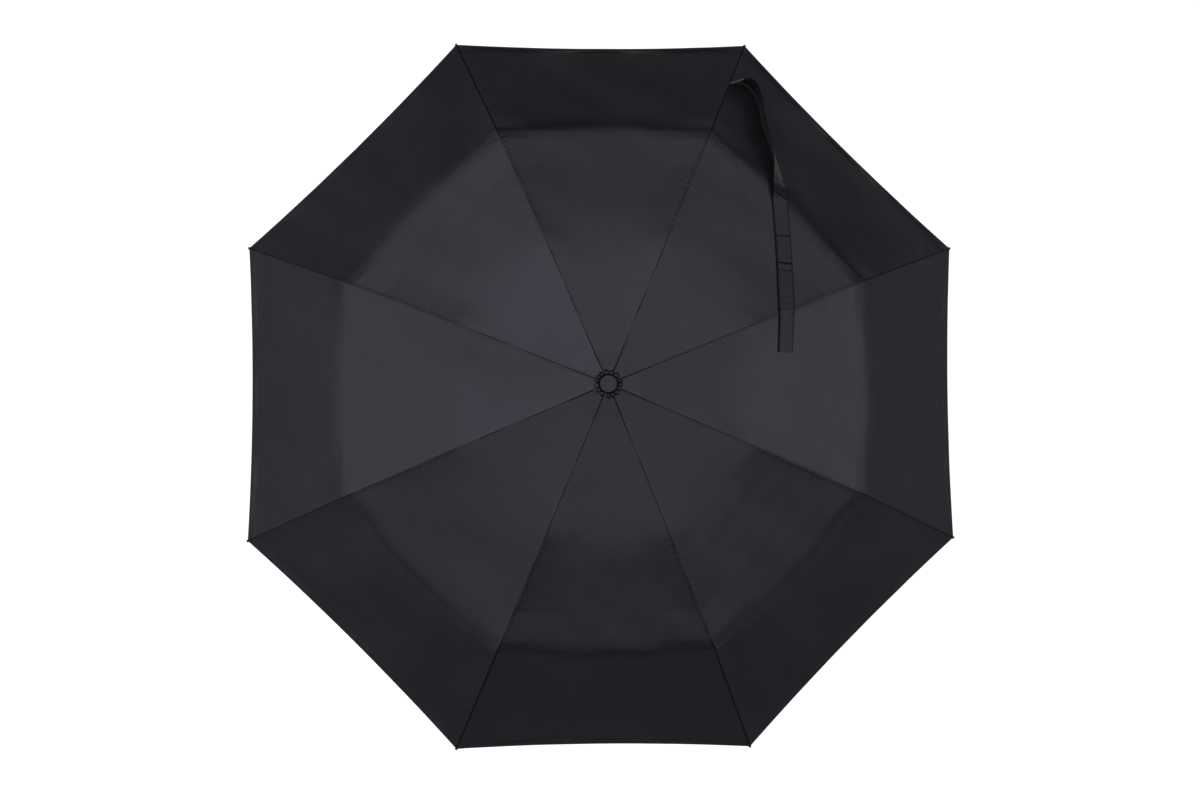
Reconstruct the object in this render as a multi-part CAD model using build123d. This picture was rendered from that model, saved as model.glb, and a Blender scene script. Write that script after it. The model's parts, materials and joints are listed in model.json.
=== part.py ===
from build123d import *
import os
from math import atan2, cos, degrees, hypot, radians, sin, sqrt

# Folding umbrella, open. Millimetres and degrees. The origin is the centre of the handle's end face
# and +Z runs up the shaft to the crown. The ribs stand at FIRST_RIB_ANGLE and every 45 degrees on.

# ------------------------------------------------------------------ driving dimensions
RIB_COUNT = 8
FIRST_RIB_ANGLE = 22.5

# clearances
TUBE_GAP = 0.08          # radial, telescoping tubes
PIN_GAP = 0.06           # radial, a turning eye on its pin
PRESS_GAP = 0.01         # radial, a pin held tight in its cheeks
SIDE_GAP = 0.10          # between parts that turn side by side
SEAT_GAP = 0.02          # radial, parts that are glued or pinned together
FABRIC_GAP = 0.30        # fabric over a rib
FOLDED_GAP = 0.5         # between the tubes' ends, shaft pushed in
CUT = 1.0                # how far a cutter runs past the face that it cuts

# telescopic shaft
TUBE_WALL = 0.7
LOWER_TUBE_R = 4.3
UPPER_TUBE_LENGTH = 226.0   # below the crown's hinge ring
MIDDLE_TUBE_LENGTH = 200.0
LOWER_TUBE_LENGTH = 214.0
STAGE_TRAVEL = 150.0
CATCH_LENGTH = 18.0
CATCH_NOSE_WIDTH = 2.4
CATCH_NOSE_HEIGHT = 6.0
CATCH_NOSE_DROP = 6.0       # nose's middle below its tube's end

# handle
HANDLE_LENGTH = 85.0
HANDLE_R = 17.0
HANDLE_WALL = 2.0
HANDLE_EDGE = 1.2
CUP_WALL = 1.4
CUP_DEPTH = 37.0
CUP_FLOOR = 3.0
CORE_R = 7.5
CORE_WEB = 1.4
CORE_WEB_COUNT = 4
CORE_START = 8.0
HANDLE_PIN_R = 1.25
GROOVE_COUNT = 5
GROOVE_PITCH = 3.5
GROOVE_R = 0.5
GROOVE_DEPTH = 0.4
GROOVE_FROM_RIM = 6.0
END_CAP_THICKNESS = 3.0
END_CAP_SPIGOT = 4.0
END_CAP_EDGE = 1.5
CORD_HOLE_R = 1.6
CORD_HOLE_OFFSET = 10.5

# crown and its cap
HINGE_R = 12.0           # radius of the ring of rib hinges
HINGE_WIRE_R = 0.5
CROWN_BELOW = 4.0        # crown ring below the hinges
CROWN_ABOVE = 5.0
CROWN_RIM = 1.6          # crown material outside the hinge circle
CROWN_SLOT_TOP = 2.2
TUBE_ABOVE_HINGE = 1.0
CROWN_NECK_R = 8.8
CROWN_NECK_LENGTH = 10.0
CROWN_PIN_R = 1.0
CAP_R = 10.0
CAP_THICKNESS = 3.0
CAP_EDGE = 1.0
CAP_STEM_R = 3.0
CAP_STEM_LENGTH = 4.0

# rib slopes below the level, umbrella open
TOP_RIB_SLOPE = 11.0
MIDDLE_RIB_SLOPE = 20.0
OUTER_RIB_SLOPE = 39.0

# rib members
TOP_RIB_LENGTH = 168.0   # crown hinge to the middle rib's pivot
MIDDLE_RIB_LENGTH = 170.0
OUTER_RIB_LENGTH = 190.0
STRETCHER_FROM_CROWN = 84.0
STRETCHER_LENGTH = 100.0
CHANNEL_HALF_WIDTH = 1.9
CHANNEL_TOP = 1.2
CHANNEL_BOTTOM = -1.3
CHANNEL_WALL = 0.5
CHANNEL_START = 4.5
CHANNEL_OPEN_END = 7.0   # the channel's web stops this far before the middle rib's pivot
STRETCHER_DROP = 2.2     # stretcher pivot below the top rib's centre line
KNEE_RISE = 1.15         # middle rib's pivot above the top rib's centre line
MIDDLE_RIB_DROP = 2.95   # middle rib's centre line below its inner pivot
MIDDLE_INNER_CRANK = 6.0  # length of the crank between that pivot and the channel
MIDDLE_OUTER_CRANK = 4.6  # the same at the outer rib's pivot
OUTER_PIVOT_DROP = 2.3   # outer rib's pivot below the middle and outer ribs' centre line
MIDDLE_HALF_HEIGHT = 0.9
MIDDLE_WALL = 0.4
STRETCHER_HALF_WIDTH = 1.0
STRETCHER_HALF_HEIGHT = 0.8
PIN_R = 0.5
EYE_R = 1.2
PIVOT_HEAD_R = 0.85
PIVOT_HEAD_THICKNESS = 0.2
LINK_R = 0.6             # link bar and link wire
LINK_PIVOT_FROM_P = 12.0  # link bar's pivot along the stretcher
KNEE_ARM_ANGLE = 205.0   # direction of the middle rib's inner arm, from its own +x
LINK_WIRE_FROM_KNEE = 9.0
LINK_WIRE_DROP = 0.5
OUTER_ARM_ANGLE = 184.0  # direction of the outer rib's inner arm
OUTER_ROD_R = 0.9
OUTER_BLOCK_START = 3.6  # block that joins the rod to its two cheeks
OUTER_BLOCK_END = 7.2
TIP_R = 1.5
TIP_BALL_R = 1.9
TIP_LENGTH = 12.0

# runner and its button
RUNNER_GAP = 0.10
RUNNER_RING_R = 13.0
RUNNER_RING_HALF_HEIGHT = 6.0
RUNNER_SLEEVE_R = 8.2
RUNNER_SLEEVE_LENGTH = 36.0   # from the stretcher pivots down
RUNNER_FLANGE_R = 15.0
RUNNER_FLANGE_THICKNESS = 5.0
RUNNER_SLOT_GAP = 0.2
BUTTON_DROP = 20.0            # button's centre below the stretcher pivots
BUTTON_WIDTH = 4.0
BUTTON_HEIGHT = 10.0
BUTTON_TRAVEL = 1.5
BUTTON_PROUD = 1.6
BUTTON_EDGE = 0.6
BUTTON_STEM_R = 1.1
BUTTON_GAP = 0.10
HOUSING_R = 11.0
HOUSING_HALF_WIDTH = 3.0
HOUSING_MARGIN = 3.0
POCKET_FLOOR = 1.4            # sleeve wall left under the button
SPRING_WIRE_R = 0.15
SPRING_TURNS = 3
TONGUE_WIDTH = 3.0
TONGUE_LENGTH = 14.0
TONGUE_SLIT = 0.4

# canopy and closure strap
CANOPY_THICKNESS = 0.4
CANOPY_HOLE_R = 4.0
CANOPY_INSET = 4.0            # canopy's corner inside the rib tip's end
COLLAR_INNER_GAP = 0.6        # gathered collar outside the cap
COLLAR_R = 17.0
COLLAR_HEIGHT = 3.0
STRAP_WIDTH = 20.0
STRAP_THICKNESS = 0.8
# centre line of the strap, seen from above: sewn to a seam near the rim, then doubled back inward
STRAP_ROUTE = [
    (166, 386), (184, 388), (199, 370), (202, 342), (207, 309), (212, 269), (214, 225), (215, 146), (213, 40),
]

# ------------------------------------------------------------------ derived places
middle_tube_r = LOWER_TUBE_R + TUBE_GAP + TUBE_WALL
upper_tube_r = middle_tube_r + TUBE_GAP + TUBE_WALL
cup_floor_z = HANDLE_LENGTH - CUP_DEPTH
cup_r = HANDLE_R - CUP_WALL
tubes_folded_z = cup_floor_z + FOLDED_GAP
middle_bottom = tubes_folded_z + STAGE_TRAVEL
upper_bottom = tubes_folded_z + 2 * STAGE_TRAVEL
hinge_z = upper_bottom + UPPER_TUBE_LENGTH
lower_top = CORE_START + LOWER_TUBE_LENGTH
middle_top = middle_bottom + MIDDLE_TUBE_LENGTH
crown_r = HINGE_R + CROWN_RIM
crown_top = hinge_z + CROWN_ABOVE
cap_bottom = crown_top + 2 * FABRIC_GAP + CANOPY_THICKNESS
rib_angles = [FIRST_RIB_ANGLE + 360 / RIB_COUNT * i for i in range(RIB_COUNT)]


def turned(point, angle):
    """Turn a side-view point (outward, up) about the origin, anticlockwise."""
    c, s = cos(radians(angle)), sin(radians(angle))
    return (c * point[0] - s * point[1], s * point[0] + c * point[1])


def plus(a, b):
    return (a[0] + b[0], a[1] + b[1])


def minus(a, b):
    return (a[0] - b[0], a[1] - b[1])


def dot(a, b):
    return a[0] * b[0] + a[1] * b[1]


def heading(start, end):
    return degrees(atan2(end[1] - start[1], end[0] - start[0]))


def equal_reach(ends, pivots, turns, direction):
    """Arm on a turning member, such that its end is equally far from a link's other end when the
    umbrella is open and when it is folded. Each argument but the last holds (open, folded)."""
    arms = [turned((cos(radians(direction)), sin(radians(direction))), t) for t in turns]
    offsets = [minus(p, e) for p, e in zip(pivots, ends)]
    length = (dot(offsets[0], offsets[0]) - dot(offsets[1], offsets[1])) / (
        2 * (dot(offsets[1], arms[1]) - dot(offsets[0], arms[0])))
    return (length * cos(radians(direction)), length * sin(radians(direction)))


# the linkage, in the top rib's own side view: x along the rib from the crown hinge, y up
knee = (TOP_RIB_LENGTH, KNEE_RISE)
stretcher_pivot = (STRETCHER_FROM_CROWN, -STRETCHER_DROP)
outer_pivot_on_middle = (MIDDLE_RIB_LENGTH, -MIDDLE_RIB_DROP - OUTER_PIVOT_DROP)
middle_turns = (TOP_RIB_SLOPE - MIDDLE_RIB_SLOPE, 180.0)
outer_turns = (TOP_RIB_SLOPE - OUTER_RIB_SLOPE, 0.0)
outer_pivots = tuple(plus(knee, turned(outer_pivot_on_middle, t)) for t in middle_turns)

runner_pivot_r = HINGE_R - STRETCHER_DROP
open_pivot = plus((HINGE_R, 0), turned(stretcher_pivot, -TOP_RIB_SLOPE))
stretcher_slope = degrees(atan2(
    sqrt(STRETCHER_LENGTH ** 2 - (open_pivot[0] - runner_pivot_r) ** 2), open_pivot[0] - runner_pivot_r))
runner_drop = STRETCHER_LENGTH * sin(radians(stretcher_slope)) - open_pivot[1]
runner_travel = STRETCHER_FROM_CROWN + STRETCHER_LENGTH - runner_drop
runner_z = hinge_z - runner_drop

stretcher_turns = (180 + stretcher_slope + TOP_RIB_SLOPE, 360.0)
link_pivots = tuple(plus(stretcher_pivot, turned((LINK_PIVOT_FROM_P, 0), t)) for t in stretcher_turns)
knee_arm = equal_reach(link_pivots, (knee, knee), middle_turns, KNEE_ARM_ANGLE)
knee_arm_ends = tuple(plus(knee, turned(knee_arm, t)) for t in middle_turns)
link_bar_length = hypot(*minus(knee_arm_ends[0], link_pivots[0]))
link_bar_turns = tuple(heading(a, b) for a, b in zip(link_pivots, knee_arm_ends))

wire_pivot = (TOP_RIB_LENGTH - LINK_WIRE_FROM_KNEE, -LINK_WIRE_DROP)
outer_arm = equal_reach((wire_pivot, wire_pivot), outer_pivots, outer_turns, OUTER_ARM_ANGLE)
outer_arm_ends = tuple(plus(p, turned(outer_arm, t)) for p, t in zip(outer_pivots, outer_turns))
link_wire_length = hypot(*minus(outer_arm_ends[0], wire_pivot))
link_wire_turns = tuple(heading(wire_pivot, end) for end in outer_arm_ends)

# layers across a rib, measured sideways from its middle plane
channel_inner = CHANNEL_HALF_WIDTH - CHANNEL_WALL
tongue_half = channel_inner - SIDE_GAP
cheek_inner = tongue_half + SIDE_GAP
cheek_outer = CHANNEL_HALF_WIDTH
link_inner = cheek_outer + SIDE_GAP
link_middle = link_inner + LINK_R
link_outer = link_middle + LINK_R


# ------------------------------------------------------------------ shape helpers
def side_plate(outline, near, far):
    """Extrude a side-view outline (x along, y up) from the sideways distance near to far."""
    return extrude(Plane.XZ.offset(-far) * outline, far - near)


def bar_outline(start, end, radius):
    """Side view of a flat bar with a round end at each point."""
    middle = ((start[0] + end[0]) / 2, (start[1] + end[1]) / 2)
    length = hypot(end[0] - start[0], end[1] - start[1])
    return Pos(*middle) * Rot(0, 0, heading(start, end)) * SlotCenterToCenter(length, 2 * radius)


def disc_outline(centre, radius):
    return Pos(*centre) * Circle(radius)


def cross_pin(centre, radius, near, far):
    """A pin across the rib."""
    return side_plate(disc_outline(centre, radius), near, far)


def channel(start, end, half_width, top, bottom, wall):
    """A pressed channel, open below, along +X."""
    outer = Pos((start + end) / 2, 0, (top + bottom) / 2) * Box(end - start, 2 * half_width, top - bottom)
    inner_height = top - bottom - wall
    inner = Pos((start + end) / 2, 0, bottom + inner_height / 2) * Box(
        end - start, 2 * (half_width - wall), inner_height)
    return outer - inner


def ring(outer_r, inner_r, bottom, top):
    height = top - bottom
    middle = Pos(0, 0, bottom + height / 2)
    return middle * Cylinder(outer_r, height) - middle * Cylinder(inner_r, height)


def turned_profile(points):
    """Solid of revolution from a closed (radius, height) outline."""
    return revolve(Plane.XZ * Polygon(*points, align=None), Axis.Z)


def radial_slots(width, inner_r, outer_r, bottom, top):
    """One radial slot at every rib."""
    size = outer_r - inner_r
    slot = Pos(inner_r + size / 2, 0, (bottom + top) / 2) * Box(size, width, top - bottom)
    return [Rot(0, 0, angle) * slot for angle in rib_angles]


def place(solids, pivot, slope, angle):
    """Put a member's solids, drawn along +X from its pivot, at their slope and round the shaft."""
    location = Rot(0, 0, angle) * Location((pivot[0], 0, hinge_z + pivot[1]), (0, slope, 0))
    return [location * solid for solid in solids]


# ------------------------------------------------------------------ shaft
def catch_nose(tube_r, top):
    """Space of a catch's nose, from the middle of its tube out through the wall."""
    nose = Box(tube_r, CATCH_NOSE_WIDTH, CATCH_NOSE_HEIGHT)
    return Pos(tube_r / 2, 0, top - CATCH_NOSE_DROP) * nose


def catch_window(top):
    """Window that a catch's nose springs into, with room all round."""
    room = 2 * SIDE_GAP
    window = Box(2 * upper_tube_r, CATCH_NOSE_WIDTH + room, CATCH_NOSE_HEIGHT + room)
    return Pos(upper_tube_r, 0, top - CATCH_NOSE_DROP) * window


def catch_plug(tube_r, top):
    """Spring catch in a tube's end: a plug with its nose pressed in flush with the tube."""
    middle = Pos(0, 0, top - CATCH_LENGTH / 2)
    plug = middle * Cylinder(tube_r - TUBE_WALL - SEAT_GAP, CATCH_LENGTH)
    return plug + (catch_nose(tube_r, top) & middle * Cylinder(tube_r - SEAT_GAP, CATCH_LENGTH))


def handle_pin(gap, overrun):
    """The pin through the handle's core and the lower tube, or the hole for it."""
    location = Pos(0, 0, (CORE_START + cup_floor_z) / 2) * Rot(90, 0, 0)
    return location * Cylinder(HANDLE_PIN_R + gap, 2 * (CORE_R + overrun))


def lower_tube():
    tube = ring(LOWER_TUBE_R, LOWER_TUBE_R - TUBE_WALL, CORE_START, lower_top)
    tube -= catch_window(lower_top)
    tube -= handle_pin(PRESS_GAP, CUT)
    return [tube, catch_plug(LOWER_TUBE_R, lower_top), handle_pin(0, 0)]


def middle_tube():
    tube = ring(middle_tube_r, middle_tube_r - TUBE_WALL, middle_bottom, middle_top)
    tube -= catch_window(lower_top)
    tube -= catch_window(middle_top)
    return [tube, catch_plug(middle_tube_r, middle_top)]


def tongue_slit():
    """U-shaped slit round the tongue that holds the open runner, pressed in flush."""
    outer = Box(2 * upper_tube_r, TONGUE_WIDTH + 2 * TONGUE_SLIT, TONGUE_LENGTH)
    inner = Pos(0, 0, TONGUE_SLIT) * Box(2 * upper_tube_r, TONGUE_WIDTH, TONGUE_LENGTH)
    return Pos(upper_tube_r, 0, runner_z - BUTTON_DROP) * (outer - inner)


def crown_pin_hole(gap):
    location = Pos(0, 0, hinge_z - CROWN_BELOW - CROWN_NECK_LENGTH / 2) * Rot(90, 0, 0)
    return location * Cylinder(CROWN_PIN_R + gap, 2 * CROWN_NECK_R)


def upper_tube():
    tube = ring(upper_tube_r, upper_tube_r - TUBE_WALL, upper_bottom, hinge_z + TUBE_ABOVE_HINGE)
    return [tube - catch_window(middle_top) - tongue_slit() - crown_pin_hole(PRESS_GAP)]


# ------------------------------------------------------------------ handle
def handle_profile():
    """Outer skin and cup in one outline, with the hollow below the cup left for the core."""
    edge = HANDLE_EDGE
    return [
        (HANDLE_R - HANDLE_WALL, END_CAP_THICKNESS),
        (HANDLE_R, END_CAP_THICKNESS),
        (HANDLE_R, HANDLE_LENGTH - edge),
        (HANDLE_R - CUP_WALL / 2, HANDLE_LENGTH),
        (cup_r, HANDLE_LENGTH - CUP_WALL / 2),
        (cup_r, cup_floor_z),
        (LOWER_TUBE_R + SEAT_GAP, cup_floor_z),
        (LOWER_TUBE_R + SEAT_GAP, CORE_START),
        (CORE_R, CORE_START),
        (CORE_R, cup_floor_z - CUP_FLOOR),
        (HANDLE_R - HANDLE_WALL, cup_floor_z - CUP_FLOOR),
    ]


def handle_grip():
    grip = turned_profile(handle_profile())
    web_top = cup_floor_z - CUP_FLOOR
    web_bottom = END_CAP_THICKNESS + END_CAP_SPIGOT + SIDE_GAP
    web_height = web_top - web_bottom
    web_inner = (LOWER_TUBE_R + CORE_R) / 2
    web_length = HANDLE_R - HANDLE_WALL / 2 - web_inner
    web = Box(web_length, CORE_WEB, web_height)
    web_step = 360 / CORE_WEB_COUNT
    for i in range(CORE_WEB_COUNT):
        location = Rot(0, 0, web_step * (i + 0.5)) * Pos(
            web_inner + web_length / 2, 0, web_bottom + web_height / 2)
        grip += location * web
    for i in range(GROOVE_COUNT):
        groove_z = HANDLE_LENGTH - GROOVE_FROM_RIM - GROOVE_PITCH * i
        grip -= Pos(0, 0, groove_z) * Torus(HANDLE_R + GROOVE_R - GROOVE_DEPTH, GROOVE_R)
    return [grip - handle_pin(PRESS_GAP, CUT)]


def handle_end_cap():
    disc = Pos(0, 0, END_CAP_THICKNESS / 2) * Cylinder(HANDLE_R, END_CAP_THICKNESS)
    disc = fillet(disc.edges().group_by(Axis.Z)[0], END_CAP_EDGE)
    spigot_r = HANDLE_R - HANDLE_WALL - SEAT_GAP
    spigot_top = END_CAP_THICKNESS + END_CAP_SPIGOT
    cap = disc + ring(spigot_r, spigot_r - HANDLE_WALL, END_CAP_THICKNESS, spigot_top)
    return [cap - Pos(0, CORD_HOLE_OFFSET, 0) * Cylinder(CORD_HOLE_R, 2 * (spigot_top + CUT))]


# ------------------------------------------------------------------ crown
def crown():
    bottom = hinge_z - CROWN_BELOW
    shoulder = hinge_z + TUBE_ABOVE_HINGE + SEAT_GAP
    body = ring(crown_r, upper_tube_r + SEAT_GAP, bottom, shoulder)
    body += ring(crown_r, CAP_STEM_R + SEAT_GAP, shoulder, crown_top)
    body += ring(CROWN_NECK_R, upper_tube_r + SEAT_GAP, bottom - CROWN_NECK_LENGTH, bottom)
    slot_inner = HINGE_R - CHANNEL_HALF_WIDTH
    slot_width = 2 * (channel_inner + SIDE_GAP)
    slot_top = hinge_z + CROWN_SLOT_TOP
    for slot in radial_slots(slot_width, slot_inner, crown_r + CUT, bottom - CUT, slot_top):
        body -= slot
    groove = HINGE_WIRE_R + PIN_GAP
    body -= ring(crown_r + CUT, HINGE_R - groove, hinge_z - groove, hinge_z + groove)
    wire = Pos(0, 0, hinge_z) * Torus(HINGE_R, HINGE_WIRE_R)
    return [body - crown_pin_hole(PRESS_GAP), wire, crown_pin_hole(0)]


def crown_cap():
    disc = Pos(0, 0, cap_bottom + CAP_THICKNESS / 2) * Cylinder(CAP_R, CAP_THICKNESS)
    disc = fillet(disc.edges().group_by(Axis.Z)[-1], CAP_EDGE)
    stem = Pos(0, 0, cap_bottom - CAP_STEM_LENGTH / 2) * Cylinder(CAP_STEM_R, CAP_STEM_LENGTH)
    return [disc + stem]


# ------------------------------------------------------------------ runner
def button_location():
    return Pos(0, 0, runner_z - BUTTON_DROP)


def radial_box(inner_r, outer_r, width, height):
    """A block on the +X side of the shaft, centred on the button's height."""
    size = outer_r - inner_r
    return button_location() * Pos(inner_r + size / 2, 0, 0) * Box(size, width, height)


def radial_rod(inner_r, outer_r, radius):
    length = outer_r - inner_r
    return button_location() * Pos(inner_r + length / 2, 0, 0) * Rot(0, 90, 0) * Cylinder(radius, length)


runner_bore = upper_tube_r + RUNNER_GAP
pocket_floor_r = runner_bore + POCKET_FLOOR
button_inner_r = pocket_floor_r + BUTTON_TRAVEL + 2 * SPRING_TURNS * SPRING_WIRE_R
stem_tip_r = runner_bore + BUTTON_TRAVEL


def runner():
    bottom = runner_z - RUNNER_SLEEVE_LENGTH
    ring_bottom = runner_z - RUNNER_RING_HALF_HEIGHT
    ring_top = runner_z + RUNNER_RING_HALF_HEIGHT
    body = ring(RUNNER_RING_R, runner_bore, ring_bottom, ring_top)
    slot_width = 2 * (STRETCHER_HALF_WIDTH + RUNNER_SLOT_GAP)
    slot_outer = RUNNER_RING_R + CUT
    for slot in radial_slots(slot_width, RUNNER_SLEEVE_R, slot_outer, ring_bottom - CUT, ring_top + CUT):
        body -= slot
    body += ring(RUNNER_SLEEVE_R, runner_bore, bottom, ring_bottom)
    body += ring(RUNNER_FLANGE_R, runner_bore, bottom, bottom + RUNNER_FLANGE_THICKNESS)
    housing_height = BUTTON_HEIGHT + 2 * HOUSING_MARGIN
    body += radial_box(pocket_floor_r, HOUSING_R, 2 * HOUSING_HALF_WIDTH, housing_height)
    room = 2 * BUTTON_GAP
    body -= radial_box(pocket_floor_r, HOUSING_R + CUT, BUTTON_WIDTH + room, BUTTON_HEIGHT + room)
    body -= radial_rod(0, HOUSING_R, BUTTON_STEM_R + BUTTON_GAP)
    return [body]


def runner_button():
    pad = radial_box(button_inner_r, HOUSING_R + BUTTON_PROUD, BUTTON_WIDTH, BUTTON_HEIGHT)
    pad = fillet(pad.edges().group_by(Axis.X)[-1], BUTTON_EDGE)
    return [pad + radial_rod(stem_tip_r, button_inner_r, BUTTON_STEM_R)]


def button_spring():
    """Coil spring round the button's stem, between the pocket's floor and the pad."""
    end_space = 2 * SPRING_WIRE_R
    length = button_inner_r - pocket_floor_r - 2 * end_space
    coil_r = BUTTON_STEM_R + SPRING_WIRE_R + end_space
    path = Helix(pitch=length / SPRING_TURNS, height=length, radius=coil_r)
    section = Plane(origin=path @ 0, z_dir=path % 0) * Circle(SPRING_WIRE_R)
    coil = sweep(section, path)
    start = Pos(pocket_floor_r + end_space, 0, 0)
    return [button_location() * start * Rot(0, 90, 0) * coil]


# ------------------------------------------------------------------ the six members of a rib
def link_eye(centre, side, bored):
    """Flat eye of a link beside the rib. The bored eye turns on a pin, the other holds its rivet."""
    near, far = sorted((side * link_inner, side * link_outer))
    eye = side_plate(disc_outline(centre, EYE_R), near, far)
    hole_r = PIN_R + (PIN_GAP if bored else PRESS_GAP)
    return eye - cross_pin(centre, hole_r, near, far)


def headed_pin(centre, side, start):
    """Pin from a sideways start out through a link's eye, with its head outside the eye."""
    head = side * (link_outer + SIDE_GAP / 2)
    tip = side * (link_outer + SIDE_GAP / 2 + PIVOT_HEAD_THICKNESS)
    shank = cross_pin(centre, PIN_R, *sorted((start, head)))
    return shank + cross_pin(centre, PIVOT_HEAD_R, *sorted((head, tip)))


def link(length, side):
    """A round wire link with an eye at each end. Its far eye holds a loose rivet."""
    shaft_length = length - EYE_R
    shaft = Pos(length / 2, side * link_middle, 0) * Rot(0, 90, 0) * Cylinder(LINK_R, shaft_length)
    shaft -= cross_pin((0, 0), EYE_R - PIN_GAP, -link_outer, link_outer)
    shaft -= cross_pin((length, 0), EYE_R - PIN_GAP, -link_outer, link_outer)
    body = shaft + link_eye((0, 0), side, True) + link_eye((length, 0), side, False)
    return [body, headed_pin((length, 0), side, side * link_inner)]


def top_rib():
    end = knee[0] + EYE_R
    rib = channel(CHANNEL_START, knee[0], CHANNEL_HALF_WIDTH, CHANNEL_TOP, CHANNEL_BOTTOM, CHANNEL_WALL)
    open_length = CHANNEL_OPEN_END + EYE_R
    opening = Box(open_length, 2 * channel_inner, 2 * CHANNEL_TOP)
    rib -= Pos(end - open_length / 2, 0, CHANNEL_TOP) * opening
    tongue_end = CHANNEL_START + 2 * EYE_R
    rib += side_plate(bar_outline((0, 0), (tongue_end, 0), EYE_R), -channel_inner, channel_inner)
    lug_top = CHANNEL_BOTTOM + CHANNEL_WALL
    for side in (-1, 1):
        near, far = sorted((side * channel_inner, side * cheek_outer))
        rib += side_plate(bar_outline((knee[0] - EYE_R, 0), knee, EYE_R), near, far)
        rib += side_plate(bar_outline((stretcher_pivot[0], lug_top), stretcher_pivot, EYE_R), near, far)
    rib -= cross_pin((0, 0), HINGE_WIRE_R + 2 * PIN_GAP, -cheek_outer, cheek_outer)
    for pivot in (knee, stretcher_pivot):
        rib -= cross_pin(pivot, PIN_R + PRESS_GAP, -cheek_outer, cheek_outer)
    rib -= cross_pin(wire_pivot, PIN_R + PRESS_GAP, -cheek_outer, -channel_inner)
    pins = [cross_pin(pivot, PIN_R, -cheek_outer, cheek_outer) for pivot in (knee, stretcher_pivot)]
    return [rib, headed_pin(wire_pivot, -1, -channel_inner)] + pins


def stretcher():
    half = STRETCHER_HALF_WIDTH
    bar = side_plate(bar_outline((0, 0), (STRETCHER_LENGTH, 0), STRETCHER_HALF_HEIGHT), -half, half)
    link_pivot = (LINK_PIVOT_FROM_P, 0)
    for eye in ((0, 0), (STRETCHER_LENGTH, 0), link_pivot):
        bar += cross_pin(eye, EYE_R - PIN_GAP, -half, half)
    for eye in ((0, 0), (STRETCHER_LENGTH, 0)):
        bar -= cross_pin(eye, PIN_R + PIN_GAP, -half, half)
    bar -= cross_pin(link_pivot, PIN_R + PRESS_GAP, -half, half)
    return [bar, headed_pin(link_pivot, 1, -half)]


def middle_rib():
    line = -MIDDLE_RIB_DROP
    top, bottom = line + MIDDLE_HALF_HEIGHT, line - MIDDLE_HALF_HEIGHT
    start, end = MIDDLE_INNER_CRANK, MIDDLE_RIB_LENGTH - MIDDLE_OUTER_CRANK
    rib = channel(start, end, tongue_half, top, bottom, MIDDLE_WALL)
    inner_end = (start + EYE_R, line)
    outer_start = (end - EYE_R, line)
    for outline in (
        bar_outline((0, 0), inner_end, MIDDLE_HALF_HEIGHT),
        bar_outline((0, 0), knee_arm, MIDDLE_HALF_HEIGHT),
        bar_outline(outer_start, outer_pivot_on_middle, MIDDLE_HALF_HEIGHT),
        disc_outline((0, 0), EYE_R),
        disc_outline(outer_pivot_on_middle, EYE_R),
    ):
        rib += side_plate(outline, -tongue_half, tongue_half)
    rib += cross_pin(knee_arm, PIN_R, tongue_half, cheek_outer)
    for pivot in ((0, 0), outer_pivot_on_middle):
        rib -= cross_pin(pivot, PIN_R + PIN_GAP, -tongue_half, tongue_half)
    return [rib]


def outer_rib():
    line = OUTER_PIVOT_DROP
    start = (OUTER_BLOCK_START, line)
    rod_end = OUTER_RIB_LENGTH - TIP_BALL_R
    rod_length = rod_end - OUTER_BLOCK_START
    rod_middle = Pos(OUTER_BLOCK_START + rod_length / 2, 0, line) * Rot(0, 90, 0)
    block = side_plate(bar_outline(start, (OUTER_BLOCK_END, line), EYE_R), -cheek_outer, cheek_outer)
    block -= cross_pin((0, 0), OUTER_BLOCK_START - EYE_R + SIDE_GAP, -cheek_outer, cheek_outer)
    rib = rod_middle * Cylinder(OUTER_ROD_R, rod_length) + block
    for side in (-1, 1):
        near, far = sorted((side * cheek_inner, side * cheek_outer))
        rib += side_plate(bar_outline((0, 0), start, EYE_R), near, far)
    rib += side_plate(bar_outline((0, 0), outer_arm, MIDDLE_HALF_HEIGHT), -cheek_outer, -cheek_inner)
    rib -= cross_pin((0, 0), PIN_R + PRESS_GAP, -cheek_outer, cheek_outer)
    pin = cross_pin((0, 0), PIN_R, -cheek_outer, cheek_outer)
    return [rib, pin, rib_tip(line, rod_end)]


def rib_tip(line, rod_end):
    """Moulded tip on the rod's end, with a ball and an eye for the canopy's thread."""
    start = OUTER_RIB_LENGTH - TIP_LENGTH
    ball_x = OUTER_RIB_LENGTH - TIP_BALL_R
    sleeve = Pos((start + ball_x) / 2, 0, line) * Rot(0, 90, 0) * Cylinder(TIP_R, ball_x - start)
    tip = sleeve + Pos(ball_x, 0, line) * Sphere(TIP_BALL_R)
    bore_length = rod_end - start + SEAT_GAP
    bore = Cylinder(OUTER_ROD_R + SEAT_GAP, bore_length)
    return tip - Pos(start + bore_length / 2, 0, line) * Rot(0, 90, 0) * bore


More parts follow.
